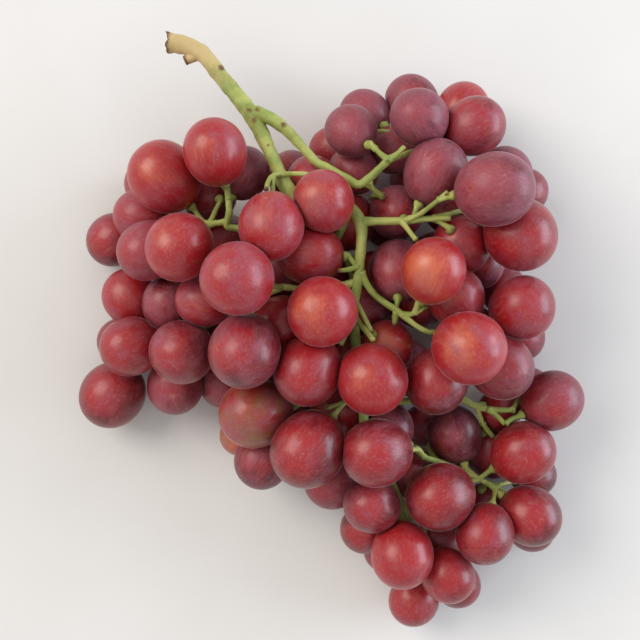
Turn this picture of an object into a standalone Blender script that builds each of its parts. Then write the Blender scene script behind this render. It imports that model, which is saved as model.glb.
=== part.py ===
"""A picked bunch of red table grapes, lying on its side on a surface.

The green skeleton (cut peduncle, rachis, wing, laterals and one pedicel for every berry) is one grown
piece. The berries are joined by lateral: each lateral's berries press against each other and make one solid.

The places of the berries that show, and of the stems, are read in millimetres across the bunch as it lies.
The berries that nothing shows fill the room under them. All of them are then eased apart, as a bunch packs
itself.
"""

import heapq

import bmesh
import bpy
import numpy as np
from mathutils import Matrix, Vector

MM = 0.001              # the layout is worked out in millimetres, and built in metres
EYE_HEIGHT = 380.0      # places are read on the surface, as an eye this high above its middle sees them
LONG = 1.07             # half a berry's length, as a share of its mean radius
SLIM = 0.97             # half a berry's width, as a share of its mean radius
PRESS = 0.93            # berries of one lateral press together to this share of their radii
CLEAR = 1.2             # room between the berries of different laterals
STEM_CLEAR = 0.5        # room between a berry's skin and a stem that it doesn't grow from
FILLED = 0.93           # how near a berry underneath is first set to its neighbours
PACKED = 0.86           # the same for one that closes a gap, before all are eased apart
FILL_GRID = (4.5, 4.0, 4.0)  # the places tried underneath: across, up and in height
HIDDEN_TOP = 31.0       # the berries underneath are all lower than this
SIGHT_STEP = 3.0        # between the sight lines that are tried
TWIG_COST = 3.0         # how much worse a pedicel is as a place to grow from than a stem
BARE = (2.0, 43.0)  # no pedicel grows from the stems left of and above this place
TURN_COST = 10.0        # how much worse a place at right angles to a berry's axis is than one behind it
HIDDEN_SIZE = 9.3       # mean radius of the berries that fill the room underneath
PLUG_SIZES = ((9.5, 8.8), (9.0, 8.0), (8.5, 7.0))  # mean radii tried on open sight lines, round by round
OPENING = (47.5, -26.5, 9.0)  # the surface shows through the bunch here: its middle and half its width
FACET_GROWTH = 1.03     # a faceted berry's corners stand this much proud, so that its mean size is true
GAP = 0.35              # between solids that would touch
GROOVE = 0.5            # between a stem and a berry that lies on it
PEDICEL_RADIUS = 0.75
PEDICEL_LENGTH = 6.0    # from a stem to the berry that it carries, where there is a choice
SHORT_PEDICEL = 6.5     # one shorter than this is drawn with one bend less
RECEPTACLE_RADIUS = 1.5  # the swollen end that carries the berry
RECEPTACLE_LENGTH = 1.6
UNEVEN = 0.03           # how much the pedicels differ in thickness
STEM_STEP = 4.0         # between the points of a stem
MAIN_SIDES = 8
THIN_SIDES = 6
PEDICEL_SIDES = 4
FLOOR_THICKNESS = 20.0

SETTLE_ROUNDS = (120, 120, 400)
SINK = 0.4              # how far the berries that touch the surface are flattened by it
WELD = 0.002            # corners nearer than this are one
CRUMB_FACES = 60        # a loose body with fewer faces than this is a crumb of a cut
STEM_SHARE = 0.6        # of the skeleton's triangles that are kept
SKIN_SHARE = 0.75       # of the berries' triangles that are kept
LENGTH_COST = 0.001     # of an edge's squared length, beside how far closing it moves the skin
MOST_COST = 0.05        # closing stops where it would move the skin more than this, in square millimetres
MOST_TURN = 0.3         # cosine of the most that a face may turn when an edge is closed up
TINY = 1e-12

SKIN_RED = (0.36, 0.035, 0.045)
SKIN_WINE = (0.24, 0.022, 0.035)
SKIN_PLUM = (0.30, 0.055, 0.095)
STEM_GREEN = (0.34, 0.42, 0.12)

# every berry that shows, by lateral: across, up, radius as seen, height of its middle
SEEN_BERRIES = {
    "left_shoulder": [
        (-35, 56, 11, 44), (-52.5, 47.5, 12, 33), (-47, 24.5, 11.5, 44), (-59, 35, 9.5, 20),
        (-68.5, 27, 9.1, 11),
        (-56, 21, 10, 27), (-57, 45, 8.5, 12), (-26, 46, 8.8, 30), (-35, 41, 9.5, 22)],
    "left_side": [
        (-63.5, 8, 9.4, 15), (-52, 8, 9.5, 27), (-38, 6.5, 9.3, 32), (-61.5, -8, 10.2, 26),
        (-66, -8.5, 8.2, 9),
        (-46, -12, 11.2, 36), (-69, -24.3, 11, 12), (-48, -20.5, 9.7, 15), (-31, -20.5, 9.5, 13)],
    "crown": [
        (0, 41, 10.6, 52), (-17.3, 31.5, 11.4, 52), (-26.5, 14.6, 12.5, 54), (-3.5, 18, 10.5, 38),
        (-14, 48, 8.3, 20), (-3, 44, 8.6, 28)],
    "middle": [
        (1.3, 4.3, 12.3, 56), (-13, -1, 10, 36), (-24, -8.8, 12.3, 44), (-2.7, -15.5, 11.4, 38),
        (19, -19.7, 12.4, 50),
        (22.5, -9, 8.8, 34), (16, 6, 9, 24)],
    "wing": [
        (10.5, 63.5, 9, 34), (14.5, 68, 8.7, 16), (5, 57, 8.1, 14), (10, 50, 8.5, 24), (30, 73, 9.1, 14),
        (32, 65, 9.8, 33), (48.7, 70, 9.2, 16), (52, 63.5, 10.1, 33), (38, 49, 11, 42),
        (25.5, 35, 9.2, 26)],
    "right_shoulder": [
        (55, 45, 12.6, 50), (61.5, 48.5, 10, 28), (68, 42.5, 8.1, 12), (69, 27, 12.5, 38), (46, 27, 10, 34),
        (37.3, 17, 11.1, 52), (45, 9, 9.9, 34), (53, 20, 8.6, 21), (24, 17, 9.8, 28), (33, 5, 9, 24)],
    "right_side": [
        (49, -6.5, 12.6, 50), (67, 6, 11, 32), (68, 0.5, 8.6, 18), (66.5, -4, 8.4, 9),
        (60, -16.3, 11.1, 34),
        (37, -19.5, 10.8, 36), (59.5, 12, 8, 9)],
    "right_lower": [
        (69.5, -24, 8.4, 14), (75.3, -29.3, 10.3, 22), (69, -43, 10.6, 28), (72, -52.5, 7.7, 12),
        (43.5, -37.5, 9.5, 22), (58, -44, 9.5, 14)],
    "foot_right": [
        (42, -57, 11.7, 38), (69.5, -61, 10.2, 25), (70, -69, 8.1, 9), (54.5, -73, 9.8, 26),
        (56, -62, 9, 14), (30.5, -47, 8.7, 12)],
    "foot": [
        (28, -75.5, 10.8, 30), (44.5, -84.5, 9.1, 24), (30.3, -93.5, 8.7, 13), (46.5, -87.5, 8, 8.5),
        (14.5, -68.5, 8.6, 13), (22.5, -77, 7.6, 8.5), (19, -57.5, 9.3, 25), (41, -73, 9, 14)],
    "left_lower": [
        (-6.3, -44, 12.9, 43), (-18.5, -47.5, 9.6, 20), (-23, -29, 12, 34), (-26.5, -38, 7.1, 9),
        (6.7, -54, 9.9, 24),
        (18.7, -42, 11.8, 42), (27, -35, 8.2, 25)],
}

# every stem: across, up, height, radius, and 1 where it shows or 0 where the berries may push it aside
STEMS = {
    "rachis": [
        (-51, 92.7, 28, 2.8, 1), (-45.3, 91.7, 29, 2.4, 1), (-39.7, 89, 30.5, 2.2, 1),
        (-35, 83.7, 32, 2.1, 1),
        (-26.7, 73.3, 35, 2.2, 1), (-21, 65.7, 37, 2.4, 1), (-17.7, 58, 38, 2.1, 1),
        (-14, 50.3, 38.5, 2.1, 1),
        (-11.5, 45, 38, 2.5, 1), (-5, 40, 37, 2, 0), (2, 38, 37, 2, 0), (9.7, 37.3, 39.5, 2, 1),
        (13.3, 32.7, 41, 2.1, 1),
        (13.7, 26.7, 42, 1.8, 1), (13.3, 19.3, 42, 1.7, 1), (12.4, 11.7, 41.5, 1.7, 1),
        (11.3, 6, 39, 1.7, 1),
        (10.8, 1, 36, 1.7, 1), (11, -7, 32, 1.7, 0), (14, -16, 29, 1.6, 0), (19, -28, 27, 1.6, 0),
        (24, -42, 24, 1.5, 0),
        (28, -54, 22, 1.3, 0), (33, -66, 20, 1.2, 0), (36, -76, 18, 1, 0)],
    "old_stub": [(-39, 88.6, 30.5, 1.5, 1), (-42.3, 87.6, 30, 1.7, 1), (-45, 86.4, 29.6, 1.6, 1)],
    "wing": [
        (-23.6, 69.6, 36.5, 1.4, 1), (-20, 68.6, 38, 1.6, 1), (-16.5, 67, 38.8, 1.6, 1),
        (-12, 64, 39, 1.5, 1),
        (-4.7, 56.3, 40, 1.5, 1),
        (-1, 52.3, 40, 1.5, 1), (4, 47.5, 39.5, 1.5, 0), (10, 44.3, 41, 1.5, 1), (15, 46.3, 42, 1.4, 1),
        (20, 50.7, 43, 1.3, 1), (22.7, 53.3, 44, 1.3, 1)],
    "wing_left": [(22.7, 53.3, 44, 1.1, 1), (19.5, 56, 43.5, .8, 1), (16.7, 59.3, 42, .8, 1)],
    "wing_up": [(22.7, 53.3, 44, 1.1, 1), (25.5, 55.2, 44, .8, 1), (28, 57.7, 43, .8, 1)],
    "wing_right": [
        (22.7, 53.3, 44, 1.1, 1), (26, 53.6, 44.5, 1, 1), (30, 56, 36, 1, 0), (38, 60, 28, 1, 0),
        (48, 64, 23, .9, 0)],
    "crown_arc": [(-13, 48.5, 40, .9, 1), (-16.3, 47.7, 43, .8, 1), (-18, 43.3, 47, .8, 1)],
    "crown_right": [(-13, 48.5, 40, .9, 1), (-8.5, 48.8, 43, .8, 1), (-4, 48.5, 45, .8, 1)],
    "left_shoulder": [
        (10, 37, 38.5, 1.3, 1), (6.7, 29.3, 34, 1.2, 1), (2.7, 23.3, 29, 1.2, 1), (-5, 20, 25, 1.2, 0),
        (-16, 22, 27, 1.2, 0),
        (-26, 25, 32, 1.2, 0), (-30.7, 28, 35, 1.2, 1), (-30.3, 36.3, 37, 1.1, 1), (-31, 44.3, 36, 1, 1)],
    "left_shoulder_out": [
        (-30.6, 33, 36, 1, 1), (-37, 32, 33, .9, 1), (-46, 36, 26, .9, 0), (-53, 34, 22, .8, 0)],
    "left_side": [
        (12.3, 12.5, 41, 1.3, 1), (4, 10.5, 38, 1.2, 0), (-10, 9.7, 37, 1.1, 1),
        (-13.7, 11.7, 37, 1.1, 1), (-24, 13, 33, 1.1, 0),
        (-33, 15, 25, 1.1, 0), (-41, 10, 19, 1, 0), (-46, 4, 18, 1, 0), (-52, 0, 18, .9, 0),
        (-56, -12, 17, .8, 0)],
    "middle_left": [
        (11, 3, 37.2, 1.2, 1), (2, -6, 30, 1.1, 0), (-10, -10, 25, 1, 0), (-22, -16, 24, .9, 0)],
    "middle_down": [(11, 3, 37.4, 1.1, 1), (8.3, -5, 42, 1, 1), (6.7, -8.3, 43, 1, 1)],
    "middle_front": [(11, 2, 37, 1, 1), (15, -3.3, 44, .9, 1), (17.7, -6.7, 48, .9, 1)],
    "broken": [(11.5, 7, 39.6, .9, 1), (15, 0.5, 43, .8, 1), (17.3, -4.5, 44, .9, 1)],
    "broken_left": [(13, 18, 42.5, .9, 1), (9.5, 16.8, 44, .8, 1), (6, 16.5, 45, .7, 1)],
    "right_shoulder": [
        (14, 32.7, 41, 1.4, 1), (30.7, 33.3, 43, 1.2, 1), (38, 33.8, 43.5, 1, 1), (43.5, 34, 43.5, 1, 1)],
    "right_shoulder_out": [
        (38, 33.8, 43, 1, 1), (47, 37, 36, .9, 0), (56, 37, 28, .9, 0), (61, 35, 22, .8, 0)],
    "shoulder_up": [
        (29.5, 33.4, 43, 1, 1), (33.5, 35.5, 45, .8, 1), (37.3, 38.3, 47, .8, 1),
        (42.7, 42.7, 49, .8, 1)],
    "shoulder_down": [(27.3, 33, 43, .9, 1), (30, 29.3, 46, .8, 1), (32, 26.7, 49, .8, 1)],
    "wing_dark": [(16.5, 46.3, 42, .8, 1), (17.5, 44, 40, .7, 1), (20.7, 41.3, 36, .8, 1)],
    "right_side": [
        (13.6, 16, 42, 1.2, 1), (17.3, 9.3, 41.5, 1.1, 1), (21.7, 5.7, 41, 1.1, 1),
        (26, 3, 41, 1.2, 1), (30.7, -1, 41, .9, 1),
        (36, -4, 40, .9, 1), (44, 0, 33, .9, 0), (54, 1, 26, .9, 0), (60, -3, 22, .8, 0)],
    "side_up": [(27, 1.8, 41, .9, 1), (31, 2, 41, .8, 1), (35, 4.5, 40, .8, 1)],
    "side_down": [(25.3, 3, 41, .9, 1), (24.7, -1.7, 39, .8, 1)],
    "right_lower": [
        (20, -27, 31.5, 1.2, 0), (32, -29, 27, 1.1, 0), (40, -28.5, 24, 1.1, 0),
        (46.3, -26.2, 24, 1.1, 1), (51.7, -28.7, 25, 1.1, 1),
        (56.3, -29.7, 26, 1, 1), (64, -30, 27, .8, 1)],
    "lower_down": [(56, -29.6, 26, .9, 1), (58.5, -31.5, 27, .8, 1), (61.7, -34.7, 28, .8, 1)],
    "lower_deep": [(52.5, -29, 25, .9, 1), (53.7, -33.3, 23, .8, 1), (57.7, -39, 20, .8, 1)],
    "foot_right": [
        (24, -42, 28, 1.1, 0), (32.3, -43, 29, 1.1, 1), (35, -46, 27, 1, 1), (40.5, -53, 24, 1, 0),
        (48, -57, 24, 1, 0),
        (55, -54.5, 25, .9, 1), (58.5, -56, 20, .8, 0)],
    "left_lower": [
        (17.5, -17, 33.5, 1.2, 0), (10, -25, 32, 1.1, 0), (1, -30, 29, 1.1, 0), (-9, -32, 24, 1, 0),
        (-17, -36, 20, .9, 0)],
    "lower_up": [(1, -30, 29, .9, 0), (2, -29.5, 34, .8, 1), (2.2, -28.5, 38, .8, 1)],
}

SKINS = {
    "left_shoulder": SKIN_RED, "left_side": SKIN_WINE, "crown": SKIN_RED, "middle": SKIN_RED,
    "wing": SKIN_PLUM, "right_shoulder": SKIN_WINE, "right_side": SKIN_RED, "right_lower": SKIN_WINE,
    "foot_right": SKIN_WINE, "foot": SKIN_RED, "left_lower": SKIN_RED,
}


def seen(across, up, height):
    """A reading on the surface, drawn in towards the middle by its own height."""
    near = 1 - np.asarray(height, float) / EYE_HEIGHT
    return np.stack([np.asarray(across) * near, np.asarray(up) * near, np.asarray(height, float)], -1)


def smooth_path(points, values, step):
    """Points every step or so on a smooth curve through the given ones, with their values carried along."""
    table = np.column_stack([points, values])
    knots = np.r_[0, np.cumsum(np.linalg.norm(np.diff(points, axis=0), axis=1))]
    at = np.linspace(0, knots[-1], max(2, int(np.ceil(knots[-1] / step)) + 1))
    span = np.clip(np.searchsorted(knots, at, side="right") - 1, 0, len(knots) - 2)
    width = np.diff(knots)[span][:, None]
    t = ((at - knots[span]) / width[:, 0])[:, None]
    slope = np.gradient(table, knots, axis=0)
    return ((2 * t**3 - 3 * t**2 + 1) * table[span] + (t**3 - 2 * t**2 + t) * width * slope[span]
            + (3 * t**2 - 2 * t**3) * table[span + 1] + (t**3 - t**2) * width * slope[span + 1])


def stem_chains():
    """Every stem as points, radii and whether each point may be pushed aside."""
    chains = {}
    for name, rows in STEMS.items():
        rows = np.array(rows, float)
        table = smooth_path(seen(rows[:, 0], rows[:, 1], rows[:, 2]), rows[:, 3:], STEM_STEP)
        thick = table[:, 3] * (1 - table[:, 2] / EYE_HEIGHT)
        chains[name] = [table[:, :3], thick, table[:, 4] < 0.99]
    return chains


def points_of(chains):
    return np.concatenate([points for points, _, _ in chains.values()])


def seen_berries():
    rows = np.array([(k, *row) for k, rows in enumerate(SEEN_BERRIES.values()) for row in rows], float)
    centre = seen(rows[:, 1], rows[:, 2], rows[:, 4])
    return centre, rows[:, 3] * (1 - rows[:, 4] / EYE_HEIGHT), rows[:, 0].astype(int)


def enclosed(place, others, width=27.0):
    """Whether berries stand all round a place, with no wide opening between them."""
    around = others[:, :2] - place[:2]
    around = around[np.hypot(*around.T) < width]
    turns = np.sort(np.arctan2(around[:, 1], around[:, 0]))
    return len(turns) > 3 and np.diff(np.r_[turns, turns[0] + 2 * np.pi]).max() < 1.75


def has_room(place, size, closeness, centre, radius, seen_count, stem_points):
    """Whether a berry fits at a place: clear of stems, not too close to its neighbours, and enclosed."""
    apart = np.linalg.norm(centre - place, axis=1)
    from_stem = np.linalg.norm(stem_points - place, axis=1)
    return ((apart >= closeness * (radius + size)).all() and from_stem.min() >= size
            and enclosed(place, centre[:seen_count]))


def with_one_more(centre, radius, group, place, size):
    """The berries and one more, which joins the lateral of the berry nearest to it."""
    nearest = int(np.argmin(np.linalg.norm(centre - place, axis=1)))
    return np.vstack([centre, place]), np.r_[radius, size], np.r_[group, group[nearest]]


def in_opening(across, up, margin=0.0):
    return np.hypot(across - OPENING[0], up - OPENING[1]) < OPENING[2] + margin


def fill_under(centre, radius, group, stem_points, seen_count, size):
    """Berries under and among the seen ones, where there is room, from the surface up on a fine grid."""
    width, length, rise = FILL_GRID
    for height in np.arange(size, HIDDEN_TOP, rise):
        for row in range(-20, 21):
            for column in range(-18, 19):
                place = np.array([width * (column + (row % 2) / 2), length * row, height])
                if in_opening(place[0], place[1], size):
                    continue
                if has_room(place, size, FILLED, centre, radius, seen_count, stem_points):
                    centre, radius, group = with_one_more(centre, radius, group, place, size)
    return centre, radius, group


def first_fit(line, sizes, centre, radius, seen_count, stem_points):
    """The first place along a sight line, from the top down, where a berry of one of the sizes has room."""
    for size in sizes:
        for height in np.arange(HIDDEN_TOP - 1, size - 0.1, -2.0):
            place = line * (EYE_HEIGHT - height) / -line[2] + (0, 0, EYE_HEIGHT)
            if has_room(place, size, PACKED, centre, radius, seen_count, stem_points):
                return place, size
    return None


def plug_gaps(centre, radius, group, stem_points, seen_count, sizes):
    """Berries that nothing shows whole: wherever the surface could be seen through the bunch, one is set on
    that sight line, as high under the stems as it fits."""
    eye = np.array([0, 0, EYE_HEIGHT])
    for up in np.arange(-100, 86, SIGHT_STEP):
        for across in np.arange(-78, 82, SIGHT_STEP):
            line = np.array([across, up, 0]) - eye
            line = line / np.linalg.norm(line)
            from_eye = centre - eye
            beside = np.linalg.norm(from_eye - (from_eye @ line)[:, None] * line, axis=1)
            if (beside < radius * 1.02).any() or in_opening(across, up):
                continue
            found = first_fit(line, sizes, centre, radius, seen_count, stem_points)
            if found:
                centre, radius, group = with_one_more(centre, radius, group, *found)
    return centre, radius, group


def unfit(centre, radius, axis, places):
    """How badly each place suits each berry as its pedicel's root, by distance and turn from its axis."""
    toward = centre[:, None] - places[None]
    reach = np.linalg.norm(toward, axis=2)
    cost = np.abs(reach - (radius * LONG + PEDICEL_LENGTH)[:, None])
    if axis is not None:
        cost += TURN_COST * (1 - (toward * axis[:, None]).sum(2) / reach)
    return cost


def grow(centre, radius, chains, axis=None):
    """Each berry's axis, and its pedicel's root on a stem that is already there, the best placed first."""
    stem = points_of(chains)
    stem = stem[(stem[:, 0] > BARE[0]) | (stem[:, 1] < BARE[1])]
    cost = unfit(centre, radius, axis, stem)
    best, root = cost.min(1), stem[cost.argmin(1)]
    waiting = np.ones(len(centre), bool)
    roots = np.zeros_like(centre)
    axes = np.zeros_like(centre) if axis is None else axis
    while waiting.any():
        k = int(np.argmin(np.where(waiting, best, np.inf)))
        waiting[k] = False
        roots[k] = root[k]
        if axis is None:
            axes[k] = (centre[k] - root[k]) / np.linalg.norm(centre[k] - root[k])
        tip = centre[k] - axes[k] * radius[k] * (LONG + 0.25)
        for share in (0.35, 0.6):
            twig = roots[k] * (1 - share) + tip * share
            cost = unfit(centre, radius, axis, twig[None])[:, 0] + TWIG_COST
            nearer = cost < best
            best = np.where(nearer, cost, best)
            root = np.where(nearer[:, None], twig, root)
    return axes, roots


def pressed_pairs(centre, radius, group):
    """Pairs of berries that hold the berries of each lateral together, as a shortest tree."""
    pairs = []
    for number in np.unique(group):
        members = list(np.flatnonzero(group == number))
        inside, outside = [members.pop(0)], members
        while outside:
            gaps = np.linalg.norm(centre[inside][:, None] - centre[outside][None], axis=2)
            gaps = gaps / (radius[inside][:, None] + radius[outside][None])
            i, j = np.unravel_index(np.argmin(gaps), gaps.shape)
            pairs.append((inside[i], outside[j]))
            inside.append(outside.pop(j))
    return np.array(pairs)


def reach_along(axis, direction):
    """From a berry's middle to its skin along a direction, as a share of its mean radius."""
    turned = (axis * direction).sum(-1)**2
    return 1 / np.sqrt(turned / LONG**2 + (1 - turned) / SLIM**2)


def settle(centre, home, radius, group, axis, chains, rounds):
    """The berries eased apart, onto the surface and clear of the stems. Those that show keep to their sight
    lines."""
    count, seen_count = len(centre), len(home)
    pairs = pressed_pairs(centre, radius, group)
    low = radius * np.sqrt(LONG**2 * axis[:, 2]**2 + SLIM**2 * (1 - axis[:, 2]**2))
    sight = home - (0, 0, EYE_HEIGHT)
    sight /= np.linalg.norm(sight, axis=1)[:, None]
    same = group[:, None] == group[None]
    for turn in range(rounds):
        strict = turn > rounds - 120
        between = centre[:, None] - centre[None]
        apart = np.linalg.norm(between, axis=2) + np.eye(count)
        unit = between / apart[..., None]
        skin = radius[:, None] * reach_along(axis[:, None], unit)
        need = np.where(same, (skin + skin.T) * PRESS, skin + skin.T + CLEAR)
        lack = np.clip(need - apart, 0, None) * (1 - np.eye(count))
        move = 0.3 * (lack[..., None] * unit).sum(1)
        if turn > 30:
            i, j = pairs.T
            pull = np.clip(apart[i, j] - need[i, j], 0, None)[:, None] * unit[i, j]
            pull *= 0.5 if strict else 0.3
            np.add.at(move, i, -pull)
            np.add.at(move, j, pull)
        stem = points_of(chains)
        thick = np.concatenate([chain[1] for chain in chains.values()])
        to_stem = centre[:, None] - stem[None]
        far = np.linalg.norm(to_stem, axis=2)
        skin = radius[:, None] * reach_along(axis[:, None], to_stem / far[..., None])
        into = np.clip(skin + thick + STEM_CLEAR - far, 0, None)
        push = into[..., None] * to_stem / far[..., None]
        move += 0.5 * push[np.arange(count), into.argmax(1)]
        first = 0
        for chain in chains.values():
            points, _, loose = chain
            last = first + len(points)
            aside = -0.5 * push[into[:, first:last].argmax(0), np.arange(first, last)]
            aside[1:-1] += 0.35 * ((points[:-2] + points[2:]) / 2 - points[1:-1])
            aside[0] = 0
            chain[0] = points + np.where(loose[:, None], aside, 0)
            first = last
        main = chains["rachis"][0]
        for chain in chains.values():
            if chain[2][0]:
                chain[0][0] = main[np.linalg.norm(main - chain[0][0], axis=1).argmin()]
        off = centre[:seen_count] - home
        along = (off * sight).sum(1)[:, None] * sight
        move[:seen_count] -= (0.01 if strict else 0.25) * (off - along) + (0 if strict else 0.03) * along
        centre = centre + move
        centre[:, 2] = np.maximum(centre[:, 2], low)
    return centre


def pedicels(centre, radius, axis, roots):
    """Each pedicel as points from its root to the berry, bent clear of every berry on the way."""
    pole = centre - axis * (radius * LONG * FACET_GROWTH + 2 * GAP)[:, None]
    share = np.linspace(0, 1, 4)[None, :, None]
    paths = roots[:, None] * (1 - share) + (pole - axis * RECEPTACLE_LENGTH)[:, None] * share
    for _ in range(40):
        inner = paths[:, 1:-1]
        to_berry = inner[:, :, None] - centre[None, None]
        far = np.linalg.norm(to_berry, axis=3)
        into = np.clip(radius * 1.02 + PEDICEL_RADIUS + GAP - far, 0, 3)
        push = (into / far)[..., None] * to_berry
        smooth = (paths[:, :-2] + paths[:, 2:]) / 2 - inner
        paths[:, 1:-1] = inner + 0.6 * push.sum(2) + 0.3 * smooth
    return np.concatenate([paths, pole[:, None]], axis=1)


def laid_out():
    """The whole bunch in millimetres: berries with their laterals and axes, stems and pedicels."""
    home, radius, group = seen_berries()
    count = len(home)
    chains = stem_chains()
    centre, radius, group = fill_under(home, radius, group, points_of(chains), count, HIDDEN_SIZE)
    for sizes, rounds in zip(PLUG_SIZES, SETTLE_ROUNDS):
        centre, radius, group = plug_gaps(centre, radius, group, points_of(chains), count, sizes)
        axis, roots = grow(centre, radius, chains)
        centre = settle(centre, home, radius, group, axis, chains, rounds)
    centre = centre - (0, 0, SINK)
    roots = grow(centre, radius, chains, axis)[1]
    return centre, radius, group, axis, chains, pedicels(centre, radius, axis, roots)


def material(name, colour, roughness):
    made = bpy.data.materials.new(name)
    made.use_nodes = True
    shader = made.node_tree.nodes["Principled BSDF"]
    shader.inputs["Base Color"].default_value = (*colour, 1)
    shader.inputs["Roughness"].default_value = roughness
    shader.inputs["Metallic"].default_value = 0.0
    return made


def new_object(name, mesh, collection):
    made = bpy.data.objects.new(name, mesh)
    collection.objects.link(made)
    return made


def mesh_of(thing):
    """What the modifiers and bevels of an object come to, as a mesh."""
    return bpy.data.meshes.new_from_object(thing.evaluated_get(bpy.context.evaluated_depsgraph_get()))


def with_welded_caps(mesh):
    """A tube's mesh whose caps and side are one closed skin."""
    work = bmesh.new()
    work.from_mesh(mesh)
    bmesh.ops.remove_doubles(work, verts=work.verts, dist=0.00001)
    work.to_mesh(mesh)
    work.free()
    return mesh


def tube(name, points, radii, sides, collection):
    """A closed tube along the points, which are in millimetres, with its own radius at each of them."""
    curve = bpy.data.curves.new(name, "CURVE")
    curve.dimensions = "3D"
    curve.bevel_depth = MM
    curve.bevel_resolution = sides // 2 - 2
    curve.use_fill_caps = True
    spline = curve.splines.new("POLY")
    spline.points.add(len(points) - 1)
    spline.points.foreach_set("co", np.column_stack([points * MM, np.ones(len(points))]).ravel())
    spline.points.foreach_set("radius", radii)
    drawn = new_object(name + "_curve", curve, collection)
    made = new_object(name, with_welded_caps(mesh_of(drawn)), collection)
    bpy.data.objects.remove(drawn)
    return made


def combined(name, pieces, operation, collection):
    """The first piece joined with the others, or cut by them, as one mesh. The others are removed."""
    others = bpy.data.collections.new(name + "_others")
    bpy.context.scene.collection.children.link(others)
    for piece in pieces[1:]:
        for user in list(piece.users_collection):
            user.objects.unlink(piece)
        others.objects.link(piece)
    change = pieces[0].modifiers.new("combine", "BOOLEAN")
    change.operation = operation
    change.operand_type = "COLLECTION"
    change.collection = others
    change.solver = "MANIFOLD"
    made = new_object(name, mesh_of(pieces[0]), collection)
    for piece in pieces:
        bpy.data.objects.remove(piece)
    bpy.data.collections.remove(others)
    return made


def welded(points, faces):
    """Corners a hair apart made one. Faces that vanish by it, or that then cover each other, are dropped."""
    _, first, index = np.unique(np.round(points / WELD), axis=0, return_index=True, return_inverse=True)
    faces = index.reshape(-1)[faces]
    faces = faces[(faces != np.roll(faces, 1, axis=1)).all(1)]
    a, b, c = faces.T
    facing = np.sign((b - a) * (c - b) * (c - a))
    _, alike = np.unique(np.sort(faces, axis=1), axis=0, return_inverse=True)
    alike = alike.reshape(-1)
    left_over = np.bincount(alike, weights=facing)[alike]
    return points[first], faces[left_over * facing > 0]


def without_scraps(faces):
    """The faces without those of small loose bodies: crumbs of a cut, and small sealed hollows."""
    ends = np.sort(faces[:, [0, 1, 1, 2, 2, 0]].reshape(-1, 2), axis=1)
    _, edge, count = np.unique(ends, axis=0, return_inverse=True, return_counts=True)
    edge = edge.reshape(-1)
    order = np.argsort(edge, kind="stable")
    one, other = (order[count[edge[order]] == 2] // 3).reshape(-1, 2).T
    body = np.arange(len(faces))
    while (body[one] != body[other]).any():
        lower = np.minimum(body[one], body[other])
        np.minimum.at(body, body[one], lower)
        np.minimum.at(body, body[other], lower)
        body = body[body]
    return faces[np.bincount(body)[body] >= CRUMB_FACES]


def normals_at(points, faces):
    corners = points[faces]
    across = np.cross(corners[:, 1] - corners[:, 0], corners[:, 2] - corners[:, 0])
    return across / (np.linalg.norm(across, axis=1)[:, None] + TINY)


def closing_cost(points, planes, a, b):
    """How far the skin would move if this edge were closed up, and the best place for its one corner."""
    places = np.array([points[a], points[b], (points[a] + points[b]) / 2])
    with_one = np.column_stack([places, np.ones(3)])
    costs = np.einsum("ij,jk,ik->i", with_one, planes[a] + planes[b], with_one)
    best = int(np.argmin(costs))
    return costs[best] + LENGTH_COST * ((points[a] - points[b])**2).sum(), places[best]


def can_close(points, faces, around, a, b, place):
    """Whether closing this edge would neither pinch the skin nor turn a face over."""
    near_a = {corner for face in around[a] for corner in faces[face]} - {a, b}
    near_b = {corner for face in around[b] for corner in faces[face]} - {a, b}
    if len(near_a & near_b) != 2 or len(near_a | near_b) < 4:
        return False
    kept = np.array([faces[face] for face in around[a] ^ around[b]])
    moved = points[kept]
    moved[(kept == a) | (kept == b)] = place
    before = normals_at(points, kept)
    after = normals_at(moved.reshape(-1, 3), np.arange(moved.size // 3).reshape(-1, 3))
    return bool(((before * after).sum(1) > MOST_TURN).all())


def triangles(thing):
    """The corners, in millimetres, and triangles of an object."""
    work = bmesh.new()
    work.from_mesh(thing.data)
    bmesh.ops.triangulate(work, faces=work.faces)
    points = np.array([corner.co for corner in work.verts]) / MM
    faces = np.array([[corner.index for corner in face.verts] for face in work.faces])
    work.free()
    return points, faces


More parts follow.
